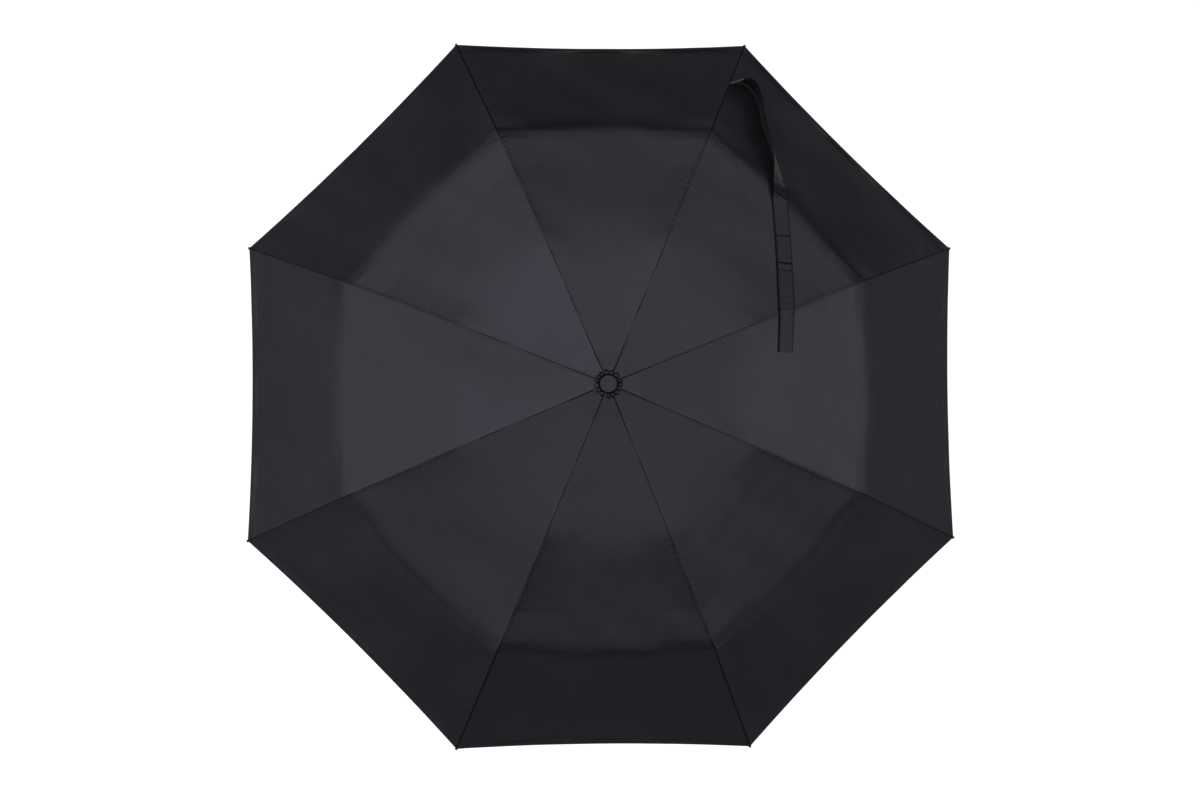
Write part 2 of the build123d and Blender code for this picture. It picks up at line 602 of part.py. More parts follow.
# ------------------------------------------------------------------ canopy and strap
def canopy_profile():
    """Corner radii and heights of the canopy's top face, from the crown to the rim."""
    rise = FABRIC_GAP + CANOPY_THICKNESS
    top_rib_end = plus((HINGE_R, 0), turned((knee[0], knee[1] + EYE_R + rise), -TOP_RIB_SLOPE))
    knee_point = plus((HINGE_R, 0), turned(knee, -TOP_RIB_SLOPE))
    outer_line = outer_pivot_on_middle[1] + OUTER_PIVOT_DROP + EYE_R + 2 * rise
    outer_point = plus(knee_point, turned((outer_pivot_on_middle[0], outer_line), -MIDDLE_RIB_SLOPE))
    outer_pivot = plus(knee_point, turned(outer_pivot_on_middle, -MIDDLE_RIB_SLOPE))
    tip_line = OUTER_PIVOT_DROP + TIP_BALL_R + 2 * rise
    tip_point = plus(outer_pivot, turned((OUTER_RIB_LENGTH - CANOPY_INSET, tip_line), -OUTER_RIB_SLOPE))
    crown_point = (crown_r + 2 * rise, CROWN_ABOVE + rise)
    return [crown_point, top_rib_end, outer_point, tip_point]


def octagon(radius, height):
    return Pos(0, 0, height) * RegularPolygon(radius, RIB_COUNT, rotation=FIRST_RIB_ANGLE)


def dome(lift):
    """Solid dome under the canopy's top face, lifted by a small amount."""
    rings = [octagon(r, hinge_z + z + lift) for r, z in canopy_profile()]
    solid = None
    for upper, lower in zip(rings, rings[1:]):
        band = loft([lower, upper], ruled=True)
        solid = band if solid is None else solid + band
    return solid


def canopy():
    skirt = canopy_profile()[-1]
    shell = dome(0) - dome(-CANOPY_THICKNESS)
    hem = extrude(octagon(skirt[0], hinge_z + skirt[1] - CANOPY_THICKNESS), CANOPY_THICKNESS)
    shell += hem - dome(-CANOPY_THICKNESS)
    collar_inner = CAP_R + COLLAR_INNER_GAP
    floor_z = crown_top + FABRIC_GAP
    shell += ring(COLLAR_R - COLLAR_HEIGHT, collar_inner, floor_z, floor_z + COLLAR_HEIGHT)
    return [shell - Pos(0, 0, crown_top) * Cylinder(CANOPY_HOLE_R, 4 * COLLAR_HEIGHT)]


def closure_strap():
    """Flat band that lies on the canopy along its route."""
    width = STRAP_WIDTH
    plan = None
    for start, end in zip(STRAP_ROUTE, STRAP_ROUTE[1:]):
        piece = bar_outline(start, end, width / 2)
        plan = piece if plan is None else plan + piece
    end_x, end_y = STRAP_ROUTE[-1]
    plan -= Pos(end_x, end_y - width / 2) * Rectangle(2 * width, width)
    column = Pos(0, 0, upper_bottom) * extrude(plan, 2 * UPPER_TUBE_LENGTH)
    layer = dome(FABRIC_GAP + STRAP_THICKNESS) - dome(FABRIC_GAP)
    return [column & layer]


# ------------------------------------------------------------------ nodes
def write_node(name, solids):
    export_step(Compound(children=[s for shape in solids for s in shape.solids()]), f"parts/{name}.step")


def write_ribs():
    knee_point = plus((HINGE_R, 0), turned(knee, -TOP_RIB_SLOPE))
    outer_point = plus((HINGE_R, 0), turned(outer_pivots[0], -TOP_RIB_SLOPE))
    link_point = plus((HINGE_R, 0), turned(link_pivots[0], -TOP_RIB_SLOPE))
    wire_point = plus((HINGE_R, 0), turned(wire_pivot, -TOP_RIB_SLOPE))
    members = {
        "top_rib": (top_rib(), (HINGE_R, 0), TOP_RIB_SLOPE),
        "stretcher": (stretcher(), open_pivot, TOP_RIB_SLOPE - stretcher_turns[0]),
        "link_bar": (link(link_bar_length, 1), link_point, TOP_RIB_SLOPE - link_bar_turns[0]),
        "middle_rib": (middle_rib(), knee_point, MIDDLE_RIB_SLOPE),
        "link_wire": (link(link_wire_length, -1), wire_point, TOP_RIB_SLOPE - link_wire_turns[0]),
        "outer_rib": (outer_rib(), outer_point, OUTER_RIB_SLOPE),
    }
    for name, (solids, pivot, slope) in members.items():
        for number, angle in enumerate(rib_angles, start=1):
            write_node(f"{name}_{number}", place(solids, pivot, slope, angle))


def main():
    os.makedirs("parts", exist_ok=True)
    for build in (
        handle_grip, handle_end_cap, lower_tube, middle_tube, upper_tube, crown, crown_cap,
        runner, runner_button, button_spring, canopy, closure_strap,
    ):
        write_node(build.__name__, build())
    write_ribs()


if __name__ == "__main__":
    main()
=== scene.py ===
import json
from math import atan2, cos, hypot, pi, radians, sin, tan

import bpy
import numpy as np
from mathutils import Euler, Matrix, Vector

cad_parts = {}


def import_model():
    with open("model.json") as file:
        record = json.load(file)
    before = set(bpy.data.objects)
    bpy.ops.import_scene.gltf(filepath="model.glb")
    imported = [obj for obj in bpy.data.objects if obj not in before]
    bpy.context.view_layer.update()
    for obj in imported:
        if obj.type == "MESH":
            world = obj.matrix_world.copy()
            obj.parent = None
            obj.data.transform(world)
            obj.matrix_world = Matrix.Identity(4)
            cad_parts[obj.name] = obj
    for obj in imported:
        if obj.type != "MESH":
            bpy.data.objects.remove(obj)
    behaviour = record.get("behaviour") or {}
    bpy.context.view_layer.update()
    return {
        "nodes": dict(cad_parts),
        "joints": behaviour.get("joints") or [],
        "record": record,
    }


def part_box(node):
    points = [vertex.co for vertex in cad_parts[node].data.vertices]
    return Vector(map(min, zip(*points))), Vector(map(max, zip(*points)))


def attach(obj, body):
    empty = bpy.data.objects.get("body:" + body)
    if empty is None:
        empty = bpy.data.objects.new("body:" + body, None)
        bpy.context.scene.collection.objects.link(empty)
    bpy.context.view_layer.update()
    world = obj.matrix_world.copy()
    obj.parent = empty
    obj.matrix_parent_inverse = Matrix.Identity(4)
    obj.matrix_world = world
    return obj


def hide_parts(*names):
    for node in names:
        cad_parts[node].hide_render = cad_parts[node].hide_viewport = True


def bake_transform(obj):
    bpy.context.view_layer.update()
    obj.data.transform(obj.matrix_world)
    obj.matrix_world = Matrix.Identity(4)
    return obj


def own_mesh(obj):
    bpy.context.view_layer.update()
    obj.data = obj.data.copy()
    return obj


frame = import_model()

# ------------------------------------------------------------------ driving values, in metres
RIB_COUNT = 8
TOP_SLOPE = radians(11)          # each rib section's slope below the level, umbrella open
MIDDLE_SLOPE = radians(20)
OUTER_SLOPE = radians(39)

FABRIC_THICKNESS = 0.00035
HEM_WIDTH = 0.0085
HEM_STITCH = 0.0070              # stitch line's distance from the rim
RIM_HOLLOW = 0.0055              # how far the rim is drawn in at a panel's middle
SAG = 0.0062                     # a panel's middle below the straight line between its ribs
BEND_SPREAD = 0.013              # the outer bend lies this much further out at a panel's middle
INNER_SPINE = 0.0051             # half the strip of fabric that stays flat along each rib
OUTER_SPINE = 0.0065             # the same past the outer hinge
GUSSET_EDGE = 0.0015             # the bent part of a panel starts this far inside the rib's hinge
CROWN_EDGE = 0.0140              # where the panels leave the crown's disc
CROWN_HOLE = 0.0040
ROW_LENGTH = 0.0031              # spacing of the fabric's points along a rib
PANEL_COLUMNS = 28
COLUMN_CROWDING = 1.2            # above 1, a panel's columns stand closer by its rib
SLOPE_STEP = 0.0002              # distance over which the surface's slope is measured
GUSSET_LEAN = 0.12               # how far along its far edge the outer bend's cloth gathers level
GUSSET_LIFT = {1: -0.020, -1: -0.032}   # it tucks inward, one side's further than its neighbour's

# relief of the cloth. Ripples have a depth, a seed (plus the rib's number, beside a rib) and a wavelength
PANEL_RIPPLES = ((0.00035, 11, 0.095), (0.00010, 12, 0.038))
HEM_RIPPLES = (0.00006, 13, 0.017)
SLANTED_CREASES = (0.00006, 20, 0.023)
CREASE_SLANT = 0.55
OUTER_CREASE_DEPTH = 0.00008     # the slanted creases are deeper by this past the outer hinge
SEAM_PUCKERS = (0.00013, 40, 0.0075)
SEAM_HALF_WIDTH = 0.00058
SEAM_WIDER_AT_CROWN = 0.00020
SEAM_WIDER_OUTSIDE = 0.00050
SEAM_DEPTH_SHARE = 0.55          # depth of the stitched groove, as a share of its half width
SEAM_FOLD_RISE = 0.00022         # the folded cloth under a seam lifts it
SEAM_FOLD_REACH = 0.0024
HEM_RISE = 0.00020               # the hem's second layer
HEM_STEP = 0.0012
STITCH_DEPTH = 0.00018
STITCH_REACH = 0.0008
RIM_DROP = 0.0006                # the folded edge is rounded down
RIM_ROUNDING = 0.0018

CROWN_ROWS = 9
CROWN_COLUMNS = 6                # on each side of a rib

RUFFLE_INNER = 0.0086            # its inner edge is held under the cap
RUFFLE_OUTER = 0.0163
RUFFLE_HELD = 0.0100             # the cap's edge, where it comes free
RUFFLE_PUFF_START = 0.0102
RUFFLE_PUFF = 0.0026             # height of a full pleat
RUFFLE_FALL_START = 0.0139
RUFFLE_FALL = 0.34               # slope past the crown's edge
RUFFLE_PLEATS = 15
PLEAT_COLUMNS = 20
RUFFLE_ROWS = 22

STRAP_WIDTH = 0.020
STRAP_THICKNESS = 0.0008
STRAP_SPACING = 0.0016           # of its points, along it
STRAP_COLUMNS = 21
STRAP_FOLD = (0.207, 0.0026, 0.009)   # where it stands off the cloth: from its free end, height, reach
STRAP_END_STITCH = 0.0022        # the stitch line's distance from the free end
STRAP_EDGE = 0.84                # where the folded edge starts, from 0 at the band's middle to 1 at its edge
STRAP_EDGE_STITCH = 0.86
STRAP_EDGE_RISE = 0.00025
CREASE_DIP, CREASE_REACH = 0.0006, 0.0011
RIDGE_RISE, RIDGE_REACH = 0.0005, 0.0016
RIDGE_OFFSET = 0.0028            # the ridge's distance from its crease

NO_SEAM = 9.0                    # painted-shade line value of cloth that has no seam, too high for any painted shade
NO_HEM = 0.2                     # "hem_distance" of cloth that has no hem

HALF_PANEL = pi / RIB_COUNT
PANEL_TAN = tan(HALF_PANEL)
CHORD_SHARE = sin(HALF_PANEL) * cos(HALF_PANEL)

JOINTS = {joint["name"]: joint for joint in frame["joints"]}


# ------------------------------------------------------------------ places read from the frame
def side_view(joint):
    """A hinge's place as (distance from the shaft, height)."""
    x, y, z = JOINTS[joint]["pos_m"]
    return hypot(x, y), z


def rib_angle(rib):
    """Direction of a rib round the shaft."""
    x, y, _ = JOINTS[f"top_rib_hinge_{rib}"]["pos_m"]
    return atan2(y, x)


def member_point(pivot, slope, along, above):
    """Side-view point on a rib member, from the length along it and the height above its line."""
    return (
        pivot[0] + along * cos(slope) + above * sin(slope),
        pivot[1] - along * sin(slope) + above * cos(slope),
    )


hinge = side_view("top_rib_hinge_1")
knee = side_view("middle_rib_hinge_1")
elbow = side_view("outer_rib_hinge_1")
crown_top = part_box("crown")[1].z
shaft_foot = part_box("handle_end_cap")[0].z


# ------------------------------------------------------------------ the canopy's surface
PROFILE_STEP = 0.00025
PROFILE_R = np.arange(0.0, 0.62, PROFILE_STEP)
CROWN_TOP_FACE = crown_top + 0.00075


def gaussian_rounded(points, radius):
    """Heights of a side-view line at every PROFILE_STEP, with its corners rounded."""
    r = np.array([p[0] for p in points])
    z = np.array([p[1] for p in points])
    start_slope = (z[1] - z[0]) / (r[1] - r[0])
    end_slope = (z[-1] - z[-2]) / (r[-1] - r[-2])
    height = np.interp(PROFILE_R, r, z)
    height += np.minimum(PROFILE_R - r[0], 0) * start_slope
    height += np.maximum(PROFILE_R - r[-1], 0) * end_slope
    reach = int(4 * radius / PROFILE_STEP)
    offsets = np.arange(-reach, reach + 1) * PROFILE_STEP
    kernel = np.exp(-0.5 * (offsets / radius) ** 2)
    padded = np.pad(height, reach, mode="reflect", reflect_type="odd")
    return np.convolve(padded, kernel / kernel.sum(), "valid")


def rounded_corner(start, corner, end, count=24):
    """Points of the curve that leaves start toward a corner and reaches end from it."""
    t = np.linspace(0, 1, count)[:, None]
    curve = (1 - t) ** 2 * np.array(start) + 2 * t * (1 - t) * np.array(corner) + t ** 2 * np.array(end)
    return [tuple(point) for point in curve]


# over a rib the fabric hugs its members, and rises over the hinge's cheeks
RIB_LINE = [
    (0.0, CROWN_TOP_FACE),
    (0.0139, CROWN_TOP_FACE),
    member_point(hinge, TOP_SLOPE, 0.030, 0.0019),
    *rounded_corner(
        member_point(hinge, TOP_SLOPE, 0.140, 0.0028),
        member_point(knee, MIDDLE_SLOPE, 0.0, 0.0036),
        member_point(knee, MIDDLE_SLOPE, 0.022, 0.0026),
    ),
    member_point(knee, MIDDLE_SLOPE, 0.120, -0.0008),
    member_point(elbow, MIDDLE_SLOPE, -0.0089, 0.0047),
    member_point(elbow, OUTER_SLOPE, 0.005, 0.0051),
    member_point(elbow, OUTER_SLOPE, 0.030, 0.0039),
    member_point(elbow, OUTER_SLOPE, 0.170, 0.0038),
    member_point(elbow, OUTER_SLOPE, 0.1815, 0.0045),
    member_point(elbow, OUTER_SLOPE, 0.1860, 0.0046),
]
RIM_R = RIB_LINE[-1][0]

# in the middle of a panel it has no hinges to clear, and its outer bend is softer and further out
PANEL_LINE = [
    RIB_LINE[0],
    RIB_LINE[1],
    RIB_LINE[2],
    *rounded_corner(
        member_point(hinge, TOP_SLOPE, 0.115, 0.0024),
        member_point(knee, MIDDLE_SLOPE, 0.0, 0.0036),
        member_point(knee, MIDDLE_SLOPE, 0.055, 0.0021),
    ),
    member_point(elbow, MIDDLE_SLOPE, BEND_SPREAD, 0.0041),
    RIB_LINE[-1],
]
RIB_HEIGHTS = gaussian_rounded(RIB_LINE, 0.0024)
PANEL_HEIGHTS = gaussian_rounded(PANEL_LINE, 0.0085)


def ease(t):
    """0 below 0, 1 above 1, and smooth between."""
    t = np.clip(t, 0.0, 1.0)
    return t * t * (3 - 2 * t)


def waves(u, v, seed, wavelength, count=6):
    """Soft irregular ripples of amplitude about 1, the same on every run."""
    random = np.random.RandomState(seed)
    total = np.zeros_like(u)
    for _ in range(count):
        heading = random.uniform(0, 2 * pi)
        length = wavelength * random.uniform(0.7, 1.5)
        phase = random.uniform(0, 2 * pi)
        total += np.sin(2 * pi * (u * cos(heading) + v * sin(heading)) / length + phase)
    return total / np.sqrt(count)


def along_waves(x, seed, wavelength, count=5):
    """The same along one direction."""
    random = np.random.RandomState(seed)
    total = np.zeros_like(x)
    for _ in range(count):
        length = wavelength * random.uniform(0.75, 1.4)
        total += np.sin(2 * pi * x / length + random.uniform(0, 2 * pi))
    return total / np.sqrt(count)


def corner_radius(x, y):
    """Radius at which the line across the panel, through this point, meets the panel's ribs."""
    return x + np.abs(y) * PANEL_TAN


def across_panel(x, y):
    """0 on a rib and 1 in the panel's middle."""
    return np.abs(y) / (np.maximum(corner_radius(x, y), 1e-6) * CHORD_SHARE)


def rim_radius(across):
    """The rim's radius, measured as corner_radius, between a rib and the panel's middle."""
    return RIM_R - RIM_HOLLOW * across * (2 - across)


def hem_distance(x, y):
    """Distance from the rim, along the cloth."""
    across = across_panel(x, y)
    return (rim_radius(across) - corner_radius(x, y)) * cos(HALF_PANEL) / cos(OUTER_SLOPE)


def seam_half_width(radius):
    """The seam over a rib is widest by the crown and outside the outer hinge."""
    by_crown = 1 - ease((radius - 0.030) / 0.040)
    past_elbow = ease((radius - elbow[0] + 0.020) / 0.030)
    return SEAM_HALF_WIDTH + SEAM_WIDER_AT_CROWN * by_crown + SEAM_WIDER_OUTSIDE * past_elbow


def fabric_height(x, y, rib):
    """Height of the canopy's top face. x runs out along the rib and y across it, as arrays."""
    side = np.abs(y)
    radius = corner_radius(x, y)
    across = across_panel(x, y)
    spread = ease(across / 0.8)
    height = np.interp(radius, PROFILE_R, RIB_HEIGHTS) * (1 - spread)
    height += np.interp(radius, PROFILE_R, PANEL_HEIGHTS) * spread
    grown = ease((radius - 0.02) / 0.30)
    held = 1 - 0.45 * ease((radius - elbow[0]) / (RIM_R - elbow[0]))
    height -= SAG * grown * held * across * (2 - across)

    angle = rib_angle(rib)
    world_x = x * cos(angle) - y * sin(angle)
    world_y = x * sin(angle) + y * cos(angle)
    free = ease(across / 0.4) * ease((radius - 0.03) / 0.12)
    for depth, seed, wavelength in PANEL_RIPPLES:
        height += depth * free * waves(world_x, world_y, seed, wavelength)

    # creases drawn from the seam at a slant, then the puckers beside its stitches
    depth, seed, wavelength = SLANTED_CREASES
    fade = np.clip(1 - across, 0, 1) ** 2
    outer = ease((radius - elbow[0] + 0.01) / 0.04)
    drawn = side / (side + 0.002) * np.exp(-side / 0.030) * fade
    creases = along_waves(x - CREASE_SLANT * side, seed + rib, wavelength)
    height += drawn * (depth + OUTER_CREASE_DEPTH * outer) * creases
    depth, seed, wavelength = SEAM_PUCKERS
    gathered = np.exp(-side / 0.007) * side / (side + 0.001) * ease((radius - 0.03) / 0.06)
    height += depth * gathered * along_waves(x, seed + rib, wavelength)

    groove = seam_half_width(radius)
    height += SEAM_FOLD_RISE * np.exp(-(side / SEAM_FOLD_REACH) ** 4) * ease((radius - 0.015) / 0.010)
    height -= SEAM_DEPTH_SHARE * groove * np.exp(-(side / groove) ** 2)

    hem = hem_distance(x, y)
    depth, seed, wavelength = HEM_RIPPLES
    height += HEM_RISE * (1 - ease((hem - HEM_WIDTH) / HEM_STEP))
    height -= STITCH_DEPTH * np.exp(-((hem - HEM_STITCH) / STITCH_REACH) ** 2)
    height -= RIM_DROP * np.clip(1 - hem / RIM_ROUNDING, 0, 1) ** 2
    by_rim = np.exp(-hem / 0.012)
    height += depth * by_rim * ease(across / 0.1) * waves(world_x, world_y, seed, wavelength)
    return height


def to_world(x, y, z, rib):
    """Points from a rib's own directions, along it and across it."""
    angle = rib_angle(rib)
    return np.stack([x * cos(angle) - y * sin(angle), x * sin(angle) + y * cos(angle), z], axis=-1)


def fabric_points(x, y, rib):
    """Points of the top face and the directions straight out of it."""
    step = SLOPE_STEP
    z = fabric_height(x, y, rib)
    slope_x = (fabric_height(x + step, y, rib) - fabric_height(x - step, y, rib)) / (2 * step)
    slope_y = (fabric_height(x, y + step, rib) - fabric_height(x, y - step, rib)) / (2 * step)
    length = np.sqrt(slope_x ** 2 + slope_y ** 2 + 1)
    normals = to_world(-slope_x / length, -slope_y / length, 1 / length, rib)
    return to_world(x, y, z, rib), normals


# ------------------------------------------------------------------ meshes
def link(name, mesh):
    """An object of this mesh, in the scene."""
    piece = bpy.data.objects.new(name, mesh)
    bpy.context.scene.collection.objects.link(piece)
    return piece


def grid_shell(name, top, normals, thickness, closed=False):
    """A thin closed shell under a grid of points. closed joins the grid's last column to its first."""
    rows, columns = top.shape[:2]
    count = rows * columns
    bottom = top - normals * thickness[..., None]
    points = np.concatenate([top.reshape(-1, 3), bottom.reshape(-1, 3)])
    index = np.arange(count).reshape(rows, columns)
    if closed:
        index = np.concatenate([index, index[:, :1]], axis=1)
    a, b, c, d = index[:-1, :-1], index[1:, :-1], index[1:, 1:], index[:-1, 1:]
    upper = np.stack([a, b, c, d], axis=-1).reshape(-1, 4)
    lower = upper[:, ::-1] + count
    if closed:
        loops = [index[0, ::-1], index[-1]]
    else:
        loops = [np.concatenate([index[:, 0], index[-1, 1:], index[-2::-1, -1], index[0, -2::-1]])]
    walls = []
    for loop in loops:
        first, second = loop[:-1], loop[1:]
        walls.append(np.stack([first, first + count, second + count, second], axis=-1))
    walls = np.concatenate(walls)
    faces = np.concatenate([upper, lower, walls])
    mesh = bpy.data.meshes.new(name)
    mesh.from_pydata(points.tolist(), [], faces.tolist())
    mesh.polygons.foreach_set("use_smooth", np.ones(len(faces), bool))
    flat = normals.reshape(-1, 3)
    both = np.concatenate([flat, -flat])
    edges_a = points[walls[:, 1]] - points[walls[:, 0]]
    edges_b = points[walls[:, 3]] - points[walls[:, 0]]
    wall_normals = np.cross(edges_a, edges_b)
    wall_normals /= np.maximum(np.linalg.norm(wall_normals, axis=1, keepdims=True), 1e-12)
    loop_normals = np.concatenate([
        both[np.concatenate([upper, lower])].reshape(-1, 3),
        np.repeat(wall_normals, 4, axis=0),
    ])
    mesh.normals_split_custom_set(loop_normals.tolist())
    mesh.update()
    return link(name, mesh)


def set_values(piece, name, values):
    """A number at every point of a shell, the same on both faces."""
    attribute = piece.data.attributes.new(name, "FLOAT", "POINT")
    attribute.data.foreach_set("value", np.tile(values.reshape(-1), 2).astype(np.float32))


def set_vectors(piece, name, values):
    """A vector at every point of a shell, the same on both faces."""
    attribute = piece.data.attributes.new(name, "FLOAT_VECTOR", "POINT")
    both = np.tile(values.reshape(-1, 3), (2, 1))
    attribute.data.foreach_set("vector", both.astype(np.float32).ravel())


def finish_cloth(piece, seam, hem, place, material):
    """The values that the cloth's material reads, and the material itself."""
    set_values(piece, "painted_shade_line", seam)
    set_values(piece, "hem_distance", hem)
    set_vectors(piece, "cloth_place", place)
    piece.data.materials.append(material)


def plain(grid, value):
    """The same value at every point of a grid."""
    return np.full(grid.shape[:2], value)


# ------------------------------------------------------------------ canopy pieces
def spine_width(x):
    """Half the width of the flat strip along a rib."""
    widened = ease((x - elbow[0] + 0.050) / 0.045)
    return np.minimum(INNER_SPINE + (OUTER_SPINE - INNER_SPINE) * widened, 0.45 * x * PANEL_TAN)


def rim_x(y):
    """Where the rim crosses a line along the rib at this distance to its side."""
    side = np.abs(y)
    return rim_radius(side / (RIM_R * CHORD_SHARE)) - side * PANEL_TAN


def row_count(length):
    """Rows of points over a length of fabric."""
    return int(round(length / ROW_LENGTH)) + 1


def knee_x(y):
    """Straight across the panel from the rib's inner hinge."""
    return knee[0] + (INNER_SPINE - np.abs(y)) * PANEL_TAN


def bend_x(y):
    """The panel's outer bend: from just inside the rib's hinge, straight across to the panel's middle."""
    side = np.abs(y)
    across = np.minimum(side / (elbow[0] * CHORD_SHARE), 1)
    straight = elbow[0] - GUSSET_EDGE + (spine_width(elbow[0]) - side) * PANEL_TAN
    return straight + BEND_SPREAD * ease(across / 0.5)


# each section's start and end at the rib, and the rib member that carries it
SECTIONS = {
    "inner": (CROWN_EDGE, knee[0], "top_rib"),
    "middle": (knee[0], elbow[0] - GUSSET_EDGE, "middle_rib"),
    "gusset": (elbow[0] - GUSSET_EDGE, elbow[0], "outer_rib"),
    "outer": (elbow[0], RIM_R, "outer_rib"),
}


def crossing(line_x, start, t):
    """Where a line over the panel crosses the lines that share the panel's width by t."""
    x = np.full_like(t, start)
    for _ in range(20):
        width = spine_width(x)
        x = line_x(width + t * (x * PANEL_TAN - width))
    return x


def panel_grid(section):
    """(x, y) over the fabric between a rib's spine and the panel's middle line."""
    start, end, _ = SECTIONS[section]
    t = np.linspace(0, 1, PANEL_COLUMNS + 1)[None, :] ** COLUMN_CROWDING
    first, last = np.full_like(t, start), np.full_like(t, end)
    if section == "inner":
        last = crossing(knee_x, end, t)
    elif section == "middle":
        first, last = crossing(knee_x, start, t), crossing(bend_x, end, t)
    elif section == "gusset":
        first = crossing(bend_x, start, t)
    elif section == "outer":
        last = crossing(rim_x, end, t)
    rows = row_count((last - first).max())
    x = first + np.linspace(0, 1, rows)[:, None] * (last - first)
    width = spine_width(x)
    return x, width + t * (x * PANEL_TAN - width)


SPINE_SHARES = np.array([0.0, 0.05, 0.10, 0.17, 0.25, 0.35, 0.48, 0.64, 0.82, 1.0])


def spine_grid(rows, to_rim):
    """(x, y) over the strip along a rib. to_rim stretches its last rows to the rim's curve."""
    shares = np.concatenate([-SPINE_SHARES[:0:-1], SPINE_SHARES])[None, :]
    x = np.repeat(rows[:, None], shares.shape[1], axis=1)
    if to_rim:
        last = rim_x(shares * OUTER_SPINE)
        outer = rows >= elbow[0]
        s = (rows[outer, None] - elbow[0]) / (rows[-1] - elbow[0])
        x[outer] = elbow[0] + s * (last - elbow[0])
    return x, shares * spine_width(x)


def fabric_shell(name, x, y, rib, material):
    """A canopy piece over the places (x, y) by a rib, and the points of its top face."""
    points, normals = fabric_points(x, y, rib)
    hem = hem_distance(x, y)
    thickness = FABRIC_THICKNESS * (2 - ease((hem - HEM_WIDTH) / 0.0010))
    piece = grid_shell(name, points, normals, thickness)

    # between the crown and the outer hinge the seam's painted shade is fainter, and unevenly so
    side = np.abs(y)
    radius = corner_radius(x, y)
    faint = ease((radius - 0.03) / 0.05) * ease((elbow[0] - radius) / 0.03)
    faint = faint * np.clip(0.20 + 0.26 * along_waves(radius, 60 + rib, 0.060), 0.0, 0.7)
    panel_along = x * cos(HALF_PANEL) + side * sin(HALF_PANEL)
    panel_across = np.sign(y) * (side * cos(HALF_PANEL) - x * sin(HALF_PANEL))
    place = np.stack([panel_across, panel_along, radius], -1)
    # distance from the seam, which the material turns into painted shade
    finish_cloth(piece, side / seam_half_width(radius) + faint, hem, place, material)
    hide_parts("canopy")
    return piece, points


def gathering(points, section, lift):
    """Direction in which a panel's section gathers against its spine, and a point it gathers to."""
    border = points[:, 0]
    if section == "gusset":
        first, last = points[0, -1] - border[0], points[-1, -1] - border[0]
        outward = np.cross(first, last)
        outward *= np.sign(outward[2]) / np.linalg.norm(outward)
        direction = first + GUSSET_LEAN * (last - first)
        direction /= np.linalg.norm(direction)
        return direction - lift * outward, border[0]
    line = border[-1] - border[0]
    line /= np.linalg.norm(line)
    anchor = border.mean(0)
    offsets = (points - anchor).reshape(-1, 3)
    offsets -= np.outer(offsets @ line, line)
    moment = offsets.T @ offsets
    widest = np.linalg.eigh(moment)[1][:, -1]
    return widest, anchor


def panel_piece(rib, side, section, material):
    """One section of a half panel. side is 1 or -1, to the rib's left or right seen from the shaft."""
    x, y = panel_grid(section)
    if side < 0:
        x, y = x[:, ::-1], -y[:, ::-1]
    name = f"canopy_{section}_{rib}_{'left' if side > 0 else 'right'}"
    piece, points = fabric_shell(name, x, y, rib, material)
    ordered = points if side > 0 else points[:, ::-1]
    direction, anchor = gathering(ordered, section, GUSSET_LIFT[side])
    member = f"{SECTIONS[section][2]}_{rib}"
    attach(piece, member)
    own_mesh(piece)


def spine_pieces(rib, material):
    """The strip along a rib. Its inner piece stays on the top rib, and its outer one runs on over the elbow
    to the rim.
    """
    inner, middle, outer = [panel_grid(section)[0][:, 0] for section in ("inner", "middle", "outer")]
    pieces = {
        "inner": (inner, ["top_rib"]),
        "outer": (np.concatenate([middle, outer]), ["middle_rib", "outer_rib"]),
    }
    for part, (rows, members) in pieces.items():
        x, y = spine_grid(rows, part == "outer")
        piece, points = fabric_shell(f"canopy_spine_{part}_{rib}", x, y, rib, material)
        bodies = [f"{member}_{rib}" for member in members]
        if part == "outer":
            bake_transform(piece)
        else:
            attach(piece, bodies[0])


def crown_fabric(material):
    """The disc of canopy over the crown, from its hole to where the panels start."""
    shares = np.linspace(-1, 1, 2 * CROWN_COLUMNS, endpoint=False)
    x = np.linspace(CROWN_HOLE, CROWN_EDGE, CROWN_ROWS)[:, None]
    y = shares[None, :] * x * PANEL_TAN
    x = np.broadcast_to(x, y.shape)
    tops, normals = zip(*(fabric_points(x, y, rib) for rib in range(1, RIB_COUNT + 1)))
    top, normal = np.concatenate(tops, axis=1), np.concatenate(normals, axis=1)
    piece = grid_shell("canopy_crown_disc", top, normal, plain(top, FABRIC_THICKNESS), closed=True)
    finish_cloth(piece, plain(top, NO_SEAM), plain(top, NO_HEM), top, material)
    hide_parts("canopy")
    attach(piece, "upper_shaft")


